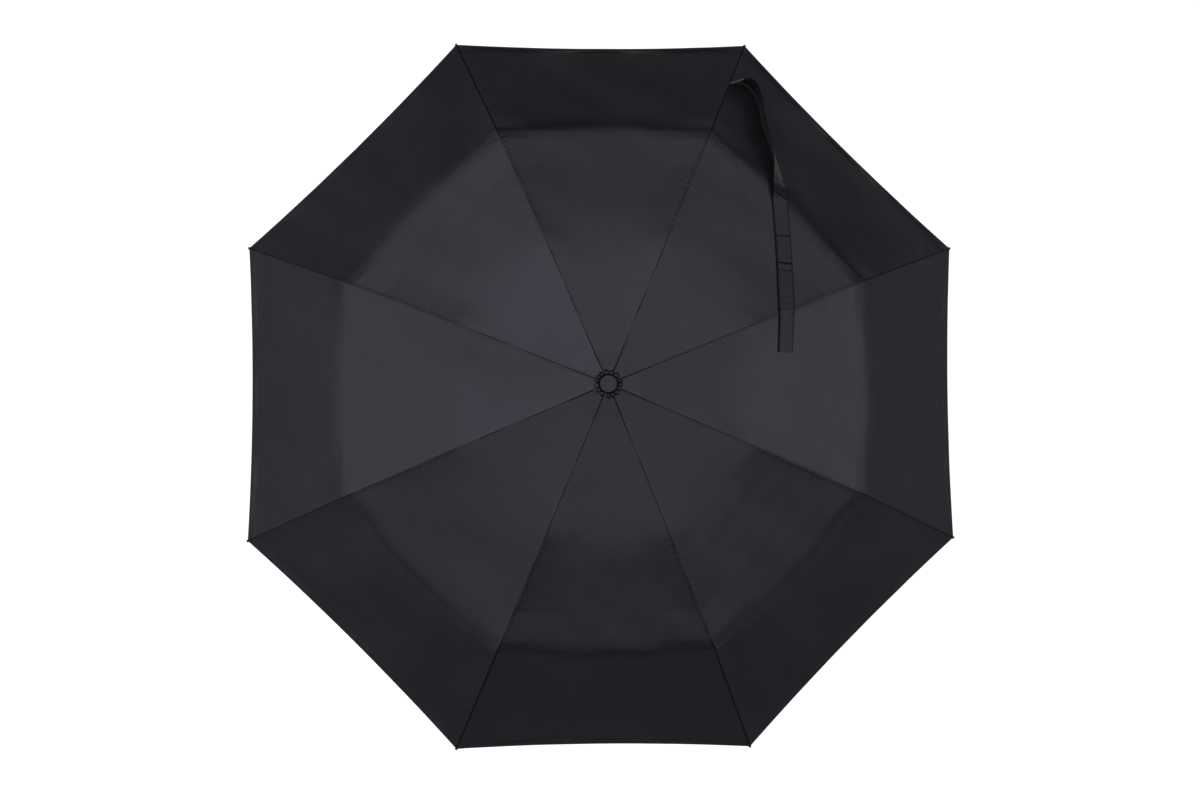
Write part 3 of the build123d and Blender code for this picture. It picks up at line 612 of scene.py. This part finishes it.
def ruffle(material):
    """Gathered collar of fabric round the cap, its pleats uneven in width and height."""
    phi = np.linspace(0, 2 * pi, RUFFLE_PLEATS * PLEAT_COLUMNS, endpoint=False)[None, :]
    s = np.linspace(0, 1, RUFFLE_ROWS)[:, None]
    turn = phi + 0.10 * np.sin(2 * phi + 1.0) + 0.05 * np.sin(5 * phi)
    pleat = (0.5 + 0.5 * np.cos(RUFFLE_PLEATS * turn)) ** 1.3
    uneven = 1 + 0.22 * np.sin(3 * phi + 0.5) + 0.15 * np.sin(7 * phi)
    outer = RUFFLE_OUTER + 0.0009 * pleat + 0.0003 * np.sin(4 * phi)
    radius = RUFFLE_INNER + s * (outer - RUFFLE_INNER)
    free = ease((radius - RUFFLE_HELD) / 0.0010)
    rise = np.clip((radius - RUFFLE_PUFF_START) / (outer - RUFFLE_PUFF_START), 0, 1)
    puff = np.sin(pi * rise ** 0.9) * free
    height = 0.0002 + 0.0003 * free + puff * (0.0002 + RUFFLE_PUFF * uneven * pleat)
    fall = np.clip(radius - RUFFLE_FALL_START, 0, None) * RUFFLE_FALL
    z = CROWN_TOP_FACE + height - fall
    angle = phi + 0.06 * np.sin(pi * s) * np.sin(RUFFLE_PLEATS * turn)
    top = np.stack([radius * np.cos(angle), radius * np.sin(angle), z], -1)
    d_around = np.roll(top, -1, axis=1) - np.roll(top, 1, axis=1)
    d_out = np.gradient(top, axis=0)
    normal = np.cross(d_out, d_around)
    normal /= np.linalg.norm(normal, axis=-1, keepdims=True)
    piece = grid_shell("canopy_ruffle", top, normal, plain(top, FABRIC_THICKNESS), closed=True)
    finish_cloth(piece, plain(top, NO_SEAM), plain(top, NO_HEM), top, material)
    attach(piece, "upper_shaft")


# ------------------------------------------------------------------ closure strap
# the band's middle line seen from above, and its lean from flat in degrees, from its seam to its free end
STRAP_STATIONS = [
    (0.1640, 0.3860, 66), (0.1740, 0.3895, 66), (0.1850, 0.3885, 65), (0.1940, 0.3790, 63),
    (0.1985, 0.3630, 61), (0.2000, 0.3430, 60), (0.2030, 0.3250, 56), (0.2070, 0.3090, 50),
    (0.2098, 0.2880, 46), (0.2118, 0.2690, 34), (0.2128, 0.2480, 13), (0.2135, 0.2290, 0),
    (0.2148, 0.1880, 0), (0.2152, 0.1460, 0), (0.2146, 0.1000, 0), (0.2139, 0.0680, 0),
    (0.2129, 0.0405, 0),
]

# creases across the band: distance from its free end, slant, and depth, of both the relief and the painted
# shade in the crease
STRAP_CREASES = [
    (0.2320, 0.40, 0.8), (0.2200, -0.15, 0.5), (0.2030, -0.50, 1.0), (0.1495, 0.05, 0.8),
    (0.1130, 0.0, 1.0), (0.1030, 0.0, 0.5), (0.0690, 0.0, 0.30), (0.0510, 0.0, 0.35),
    (0.0360, 0.0, 0.30), (0.0240, 0.0, 0.35),
]

# painted shade where the twist turns the band from the light: distance from its free end, reach, and mark
# (lower is darker)
STRAP_SHADES = [(0.242, 0.030, 0.74), (0.207, 0.014, 0.72)]


def travelled_along(points):
    """Distance along a line of points, at each of them."""
    return np.concatenate([[0], np.cumsum(np.linalg.norm(np.diff(points, axis=0), axis=1))])


def smooth_line(points, spacing):
    """Points at even spacing, seen from above, on a Catmull-Rom curve through a list of points."""
    knots = np.array(points, float)
    padded = np.concatenate([[2 * knots[0] - knots[1]], knots, [2 * knots[-1] - knots[-2]]])
    pieces = []
    t = np.linspace(0, 1, 24, endpoint=False)[:, None]
    for p0, p1, p2, p3 in zip(padded, padded[1:], padded[2:], padded[3:]):
        pieces.append(0.5 * (2 * p1 + (p2 - p0) * t + (2 * p0 - 5 * p1 + 4 * p2 - p3) * t ** 2
                             + (3 * p1 - p0 - 3 * p2 + p3) * t ** 3))
    line = np.concatenate(pieces + [knots[-1:]])
    travelled = travelled_along(line[:, :2])
    even = np.linspace(0, travelled[-1], int(travelled[-1] / spacing) + 1)
    return np.stack([np.interp(even, travelled, line[:, k]) for k in range(line.shape[1])], axis=1)


def surface_at(x, y):
    """Point and outward direction of the canopy at a place seen from above."""
    angle = atan2(y, x)
    rib = int(round((angle - rib_angle(1)) / (2 * HALF_PANEL))) % RIB_COUNT + 1
    turn = angle - rib_angle(rib)
    radius = hypot(x, y)
    along, across = np.array([[radius * cos(turn)]]), np.array([[radius * sin(turn)]])
    points, normals = fabric_points(along, across, rib)
    return points[0, 0], normals[0, 0]


def unit(vectors):
    """The same directions at length 1."""
    return vectors / np.linalg.norm(vectors, axis=-1, keepdims=True)


def closure_strap(material):
    """The band that lies over the canopy from its seam on the hem: on edge at first, then flat."""
    line = smooth_line(STRAP_STATIONS, STRAP_SPACING)
    lean = np.radians(line[:, 2])
    lift = np.abs(np.sin(lean)) * STRAP_WIDTH / 2 + STRAP_THICKNESS
    x, y = line[:, 0].copy(), line[:, 1].copy()
    # the places under the band's lower edge, and the directions out of the canopy there, evened along it
    for _ in range(3):
        places = [surface_at(px, py) for px, py in zip(x, y)]
        base = np.array([p for p, _ in places])
        out = np.array([n for _, n in places])
        for _ in range(8):
            out[1:-1] = (out[:-2] + out[1:-1] + out[2:]) / 3
        out = unit(out)
        x, y = line[:, 0] - out[:, 0] * lift, line[:, 1] - out[:, 1] * lift
    ahead = unit(np.gradient(base, axis=0))
    side = unit(np.cross(out, ahead))
    travelled = travelled_along(base)
    total = travelled[-1]
    from_end = total - travelled
    loose = 0.0004 + 0.0004 * (1 - np.cos(from_end / 0.027)) * ease(from_end / 0.02)
    fold_place, fold_height, fold_reach = STRAP_FOLD
    folded = fold_height * np.exp(-((from_end - fold_place) / fold_reach) ** 2)
    across = side * np.cos(lean)[:, None] - out * np.sin(lean)[:, None]
    face = side * np.sin(lean)[:, None] + out * np.cos(lean)[:, None]
    middle = base + out * (lift + loose + folded)[:, None]
    u = np.linspace(-1, 1, STRAP_COLUMNS)
    grid = middle[:, None] + across[:, None] * (u * STRAP_WIDTH / 2)[None, :, None]

    # thicker folded edges, and a mark that is low where shade is painted on the cloth: at stitches, at edges,
    # where the twist turns it from the light, and in creases
    rows = len(travelled)
    relief = np.tile(np.where(np.abs(u) > STRAP_EDGE, STRAP_EDGE_RISE, 0.0), (rows, 1))
    # painted shade in the groove of the stitch line along each edge
    painted_shade_mark = np.tile(np.abs((STRAP_EDGE_STITCH - np.abs(u)) * STRAP_WIDTH / 2 / 0.0006) + 0.25, (rows, 1))
    # painted shade along the band's edges
    painted_shade_mark = np.minimum(painted_shade_mark, (1 - np.abs(u))[None, :] * STRAP_WIDTH / 2 / 0.0008 + 0.35)
    # painted shade where the twist turns the band from the light
    for place, reach, mark in STRAP_SHADES:
        painted_shade_mark = np.minimum(painted_shade_mark, mark + ((from_end[:, None] - place) / reach) ** 2)
    for place, slant, depth in STRAP_CREASES:
        offset = from_end[:, None] - place - slant * u[None, :] * STRAP_WIDTH / 2
        relief -= CREASE_DIP * depth * np.exp(-(offset / CREASE_REACH) ** 2)
        relief += RIDGE_RISE * depth * np.exp(-((offset + RIDGE_OFFSET) / RIDGE_REACH) ** 2)
        # painted shade in each crease, as deep as the crease
        painted_shade_mark = np.minimum(painted_shade_mark, np.abs(offset) / CREASE_REACH + 1.3 * (1 - depth))
    # painted shadow line at the stitches by the free end
    painted_shade_mark = np.minimum(painted_shade_mark, np.abs(from_end[:, None] - STRAP_END_STITCH) / 0.0005 + 0.4)

    grid = grid + face[:, None] * relief[..., None]
    normal = unit(np.cross(np.gradient(grid, axis=0), np.gradient(grid, axis=1)))
    if (normal * face[:, None]).sum() < 0:
        grid, normal, painted_shade_mark = grid[:, ::-1], -normal[:, ::-1], painted_shade_mark[:, ::-1]
    piece = grid_shell("closure_strap_band", grid, normal, plain(grid, STRAP_THICKNESS))
    cloth = np.stack(np.broadcast_arrays(u[None, :] * STRAP_WIDTH / 2, travelled[:, None], 0.0), -1)
    finish_cloth(piece, painted_shade_mark, plain(grid, NO_HEM), cloth, material)
    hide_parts("closure_strap")
    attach(piece, "outer_rib_2")
    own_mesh(piece)


# ------------------------------------------------------------------ materials
WAVE_BAND = 0.314                # width of a band of the wave texture at scale 1
# painted shade: the cloth's colour and reflection tint where its grooves, stitches and folded edges lie in
# shade
SEAM_PAINTED_SHADE = (0.002, 0.002, 0.0025)
SEAM_PAINTED_SHADE_GLOSS = (0.06, 0.06, 0.07)


def node_material(name):
    """A new material, its nodes and its links."""
    material = bpy.data.materials.new(name)
    material.use_nodes = True
    return material, material.node_tree.nodes, material.node_tree.links


def attribute_node(nodes, name):
    """The values that a mesh carries under this name."""
    node = nodes.new("ShaderNodeAttribute")
    node.attribute_name = name
    return node


def noise_node(nodes, links, vector, scale, detail=3.0, roughness=0.55):
    """Noise with this many features to a metre."""
    node = nodes.new("ShaderNodeTexNoise")
    node.inputs["Scale"].default_value = scale
    node.inputs["Detail"].default_value = detail
    node.inputs["Roughness"].default_value = roughness
    links.new(vector, node.inputs["Vector"])
    return node.outputs["Fac"]


def ranged(nodes, links, value, low, high, to_low, to_high):
    """A value from low to high, turned into one from to_low to to_high."""
    node = nodes.new("ShaderNodeMapRange")
    node.clamp = True
    for socket, number in zip(("From Min", "From Max", "To Min", "To Max"), (low, high, to_low, to_high)):
        node.inputs[socket].default_value = number
    links.new(value, node.inputs["Value"])
    return node.outputs["Result"]


def maths(nodes, links, operation, a, b=None):
    """A sum on numbers or sockets."""
    node = nodes.new("ShaderNodeMath")
    node.operation = operation
    for socket, value in zip(node.inputs, (a, b)):
        if value is None:
            continue
        if isinstance(value, (int, float)):
            socket.default_value = value
        else:
            links.new(value, socket)
    return node.outputs[0]


def mixed_colour(nodes, links, factor, first, second):
    """The first colour where the factor is 0 and the second where it is 1."""
    node = nodes.new("ShaderNodeMix")
    node.data_type = "RGBA"
    links.new(factor, node.inputs["Factor"])
    for socket, colour in ((node.inputs["A"], first), (node.inputs["B"], second)):
        if isinstance(colour, tuple):
            socket.default_value = (*colour, 1.0)
        else:
            links.new(colour, socket)
    return node.outputs["Result"]


def bumped(nodes, links, height, strength, distance, below=None):
    """Fine relief, on top of another if there is one below."""
    node = nodes.new("ShaderNodeBump")
    node.inputs["Strength"].default_value = strength
    node.inputs["Distance"].default_value = distance
    links.new(height, node.inputs["Height"])
    if below is not None:
        links.new(below, node.inputs["Normal"])
    return node.outputs["Normal"]


def woven_fabric(name, dark, light, gloss, roughness, thread=0.0005):
    """Plain-woven polyester. cloth_place holds the place on the cloth, in metres."""
    material, nodes, links = node_material(name)
    shader = nodes["Principled BSDF"]
    place = attribute_node(nodes, "cloth_place").outputs["Vector"]
    seam = attribute_node(nodes, "painted_shade_line").outputs["Fac"]
    hem = attribute_node(nodes, "hem_distance").outputs["Fac"]
    coordinates = nodes.new("ShaderNodeTexCoord").outputs["Object"]

    threads = []
    for direction in ("X", "Y"):
        wave = nodes.new("ShaderNodeTexWave")
        wave.bands_direction = direction
        wave.inputs["Scale"].default_value = WAVE_BAND / thread
        wave.inputs["Distortion"].default_value = 0.6
        wave.inputs["Detail"].default_value = 1.0
        links.new(place, wave.inputs["Vector"])
        threads.append(wave.outputs["Fac"])
    weave = maths(nodes, links, "MULTIPLY", *threads)

    patches = noise_node(nodes, links, coordinates, 9.0, 4.0)
    mottle = noise_node(nodes, links, coordinates, 160.0, 3.0)
    tone = maths(nodes, links, "ADD", maths(nodes, links, "MULTIPLY", patches, 0.65),
                 maths(nodes, links, "MULTIPLY", mottle, 0.35))
    colour = mixed_colour(nodes, links, ranged(nodes, links, tone, 0.35, 0.65, 0.0, 1.0), dark, light)
    # painted shade: the cloth darkens in the seam's groove, along the hem's stitch line and at the rim's
    # folded edge
    groove = ranged(nodes, links, seam, 0.55, 1.35, 0.92, 0.0)
    stitch_line = maths(nodes, links, "ABSOLUTE", maths(nodes, links, "SUBTRACT", hem, HEM_STITCH))
    hem_stitch_shade = ranged(nodes, links, stitch_line, 0.0002, 0.0006, 0.35, 0.0)
    rim_edge_shade = ranged(nodes, links, hem, 0.0006, 0.0016, 0.8, 0.0)
    shade = maths(nodes, links, "MAXIMUM", groove, maths(nodes, links, "MAXIMUM", hem_stitch_shade, rim_edge_shade))
    colour = mixed_colour(nodes, links, shade, colour, SEAM_PAINTED_SHADE)
    # the painted shade also dims the reflection there
    links.new(mixed_colour(nodes, links, shade, gloss, SEAM_PAINTED_SHADE_GLOSS), shader.inputs["Specular Tint"])
    links.new(colour, shader.inputs["Base Color"])
    rough = ranged(nodes, links, patches, 0.3, 0.7, roughness - 0.02, roughness + 0.02)
    links.new(rough, shader.inputs["Roughness"])
    shader.inputs["Sheen Weight"].default_value = 0.02
    shader.inputs["Sheen Roughness"].default_value = 0.45
    shader.inputs["Specular IOR Level"].default_value = 0.38
    grain = bumped(nodes, links, weave, 0.16, 0.00012)
    links.new(bumped(nodes, links, patches, 0.10, 0.002, grain), shader.inputs["Normal"])
    return material


def moulded_plastic(name, colour, roughness, grain=0.0003, gloss=0.5):
    """Plastic with a fine moulded grain and faint handling marks."""
    material, nodes, links = node_material(name)
    shader = nodes["Principled BSDF"]
    coordinates = nodes.new("ShaderNodeTexCoord").outputs["Object"]
    fine = noise_node(nodes, links, coordinates, 1 / grain, 2.0)
    broad = noise_node(nodes, links, coordinates, 90.0, 4.0)
    lighter = tuple(min(1.0, c * 1.35 + 0.003) for c in colour)
    marks = ranged(nodes, links, broad, 0.35, 0.7, 0, 1)
    links.new(mixed_colour(nodes, links, marks, colour, lighter), shader.inputs["Base Color"])
    rough = ranged(nodes, links, broad, 0.3, 0.7, roughness - 0.06, roughness + 0.08)
    links.new(rough, shader.inputs["Roughness"])
    links.new(bumped(nodes, links, fine, 0.12, 0.0001), shader.inputs["Normal"])
    shader.inputs["Specular IOR Level"].default_value = gloss
    return material


def painted_steel(name, colour, roughness):
    """Black lacquered steel, rubbed a little brighter in places."""
    material, nodes, links = node_material(name)
    shader = nodes["Principled BSDF"]
    coordinates = nodes.new("ShaderNodeTexCoord").outputs["Object"]
    broad = noise_node(nodes, links, coordinates, 60.0, 5.0)
    specks = noise_node(nodes, links, coordinates, 900.0, 2.0)
    rubbed = tuple(c * 2.2 + 0.01 for c in colour)
    wear = maths(nodes, links, "MULTIPLY", ranged(nodes, links, broad, 0.55, 0.75, 0, 1),
                 ranged(nodes, links, specks, 0.4, 0.7, 0.2, 1))
    links.new(mixed_colour(nodes, links, wear, colour, rubbed), shader.inputs["Base Color"])
    rough = ranged(nodes, links, specks, 0.3, 0.7, roughness - 0.05, roughness + 0.10)
    links.new(rough, shader.inputs["Roughness"])
    links.new(bumped(nodes, links, specks, 0.06, 0.00008), shader.inputs["Normal"])
    shader.inputs["Metallic"].default_value = 0.25
    shader.inputs["Coat Weight"].default_value = 0.25
    shader.inputs["Coat Roughness"].default_value = 0.25
    return material


def bright_steel(name):
    """Drawn spring wire, uncoated."""
    material, nodes, links = node_material(name)
    shader = nodes["Principled BSDF"]
    coordinates = nodes.new("ShaderNodeTexCoord").outputs["Object"]
    drawn = noise_node(nodes, links, coordinates, 700.0, 3.0)
    colour = mixed_colour(nodes, links, drawn, (0.42, 0.42, 0.44), (0.62, 0.62, 0.63))
    links.new(colour, shader.inputs["Base Color"])
    links.new(ranged(nodes, links, drawn, 0.3, 0.7, 0.22, 0.38), shader.inputs["Roughness"])
    shader.inputs["Metallic"].default_value = 1.0
    return material


def paint_cad_nodes():
    """The hard pieces keep the CAD's shapes, each with the material of its slot."""
    materials = {
        "cap_plastic": moulded_plastic("cap_satin_plastic", (0.009, 0.0095, 0.012), 0.45, gloss=0.27),
        "frame_plastic": moulded_plastic("frame_moulded_plastic", (0.014, 0.014, 0.015), 0.42),
        "handle_plastic": moulded_plastic("handle_soft_touch", (0.017, 0.017, 0.018), 0.55, grain=0.0005),
        "shaft_metal": painted_steel("shaft_lacquer", (0.018, 0.018, 0.019), 0.26),
        "rib_metal": painted_steel("rib_lacquer", (0.020, 0.020, 0.021), 0.34),
        "wire_metal": painted_steel("wire_lacquer", (0.022, 0.022, 0.023), 0.32),
        "spring_steel": bright_steel("spring_wire"),
    }
    slots = {part["node"]: part["material_slot"] for part in frame["record"]["subparts"]}
    for node, piece in frame["nodes"].items():
        material = materials.get(slots[node])
        if material is None:
            continue
        piece.data.materials.clear()
        piece.data.materials.append(material)


# ------------------------------------------------------------------ studio
CAMERA_PLACE = (-0.081, -0.118, 2.7245)
CAMERA_TURN = (2.83, -1.89, -0.23)     # degrees, from looking straight down with +Y up
CAMERA_LENS = 55.9                     # millimetres
CAMERA_SENSOR = 36.0

LAMP_COLOUR = (0.95, 0.965, 1.0)
LAMP_AIM = (0, 0, 0.4)
# each lamp's name, place, the two widths of its ellipse, and watts
LAMPS = [
    ("overhead", (-0.05, 0.30, 3.4), (14.0, 10.0), 380.0),
    ("upper_key", (-0.45, 1.0, 3.4), (5.4, 2.6), 11.0),
    ("corner_key", (-1.7, 1.6, 3.3), (2.8, 2.8), 10.0),
    ("left_side", (-2.9, 0.3, 2.8), (2.4, 1.6), 3.0),
    ("right_side", (2.9, 0.3, 2.8), (2.4, 1.6), 6.0),
    ("left_low", (-3.4, 0.0, 1.2), (8.5, 1.9), 33.5),
    ("right_low", (3.4, -0.5, 1.2), (7.0, 1.9), 18.0),
    ("front_low", (0.0, -3.4, 0.9), (4.0, 1.0), 3.5),
]

WORLD_LIGHT = 0.025                    # the world's strength, except where the camera sees it
FLOOR_REACH = 6.0
FLOOR_GAP = 0.0005                     # below the handle's end
FLOOR_GREY = 0.22
FLOOR_GLOW = 0.94                      # makes up for its grey where the camera sees it
FLOOR_GLOW_FULL = 0.8                  # mirrored, it glows fully up to this distance from the origin
FLOOR_GLOW_END = 1.3                   # and not at all from this one


def camera():
    """Almost straight above the umbrella."""
    data = bpy.data.cameras.new("camera")
    data.lens = CAMERA_LENS
    data.sensor_width = CAMERA_SENSOR
    eye = bpy.data.objects.new("camera", data)
    eye.location = CAMERA_PLACE
    eye.rotation_euler = Euler([radians(a) for a in CAMERA_TURN], "XYZ")
    bpy.context.scene.collection.objects.link(eye)
    bpy.context.scene.camera = eye


def soft_lamp(name, place, size, power):
    """A wide lamp, turned toward the umbrella."""
    data = bpy.data.lights.new(name, "AREA")
    data.shape = "ELLIPSE"
    data.size, data.size_y = size
    data.energy = power
    data.color = LAMP_COLOUR
    lamp = bpy.data.objects.new(name, data)
    lamp.location = place
    aim = Vector(LAMP_AIM) - Vector(place)
    lamp.rotation_euler = aim.to_track_quat("-Z", "Y").to_euler()
    bpy.context.scene.collection.objects.link(lamp)


def world():
    """White where the camera sees it, and otherwise nearly dark."""
    backdrop = bpy.data.worlds.new("studio")
    bpy.context.scene.world = backdrop
    backdrop.use_nodes = True
    nodes, links = backdrop.node_tree.nodes, backdrop.node_tree.links
    background = nodes["Background"]
    background.inputs["Color"].default_value = (1, 1, 1, 1)
    path = nodes.new("ShaderNodeLightPath")
    strength = ranged(nodes, links, path.outputs["Is Camera Ray"], 0, 1, WORLD_LIGHT, 1.0)
    links.new(strength, background.inputs["Strength"])


def floor():
    """A grey floor that keeps shadows, with a glow that only the camera and mirroring surfaces see."""
    mesh = bpy.data.meshes.new("floor")
    height = shaft_foot - FLOOR_GAP
    corners = [(x * FLOOR_REACH, y * FLOOR_REACH, height) for x, y in ((-1, -1), (1, -1), (1, 1), (-1, 1))]
    mesh.from_pydata(corners, [], [(0, 1, 2, 3)])
    ground = link("floor", mesh)
    material, nodes, links = node_material("pale_floor")
    shader = nodes["Principled BSDF"]
    shader.inputs["Base Color"].default_value = (FLOOR_GREY, FLOOR_GREY, FLOOR_GREY, 1)
    shader.inputs["Roughness"].default_value = 0.9
    glow = nodes.new("ShaderNodeEmission")
    place = nodes.new("ShaderNodeTexCoord").outputs["Object"]
    distance = nodes.new("ShaderNodeVectorMath")
    distance.operation = "LENGTH"
    links.new(place, distance.inputs[0])
    near = ranged(nodes, links, distance.outputs["Value"], FLOOR_GLOW_FULL, FLOOR_GLOW_END, 1.0, 0.0)
    path = nodes.new("ShaderNodeLightPath")
    glossy, through = path.outputs["Is Glossy Ray"], path.outputs["Is Transmission Ray"]
    mirrored = maths(nodes, links, "MULTIPLY", near, maths(nodes, links, "MAXIMUM", glossy, through))
    seen = maths(nodes, links, "MAXIMUM", path.outputs["Is Camera Ray"], mirrored)
    links.new(maths(nodes, links, "MULTIPLY", seen, FLOOR_GLOW), glow.inputs["Strength"])
    both = nodes.new("ShaderNodeAddShader")
    links.new(shader.outputs[0], both.inputs[0])
    links.new(glow.outputs[0], both.inputs[1])
    links.new(both.outputs[0], nodes["Material Output"].inputs["Surface"])
    mesh.materials.append(material)


def studio():
    """A white room seen from above."""
    camera()
    world()
    floor()
    for lamp in LAMPS:
        soft_lamp(*lamp)
    bpy.context.scene.view_settings.view_transform = "Standard"


# ------------------------------------------------------------------ the umbrella
def canopy():
    """Half panels and strips for each rib, the crown's disc and the collar round the cap."""
    cloth = woven_fabric(
        "black_pongee", dark=(0.0045, 0.0045, 0.0056), light=(0.0070, 0.0070, 0.0084),
        gloss=(0.84, 0.86, 1.0), roughness=0.30)
    for rib in range(1, RIB_COUNT + 1):
        for section in SECTIONS:
            for side in (-1, 1):
                panel_piece(rib, side, section, cloth)
        spine_pieces(rib, cloth)
    crown_fabric(cloth)
    ruffle(cloth)


studio()
paint_cad_nodes()
canopy()
closure_strap(woven_fabric(
    "strap_polyester", dark=(0.0055, 0.0055, 0.0068), light=(0.0085, 0.0085, 0.0100),
    gloss=(0.62, 0.63, 0.72), roughness=0.42, thread=0.0008))
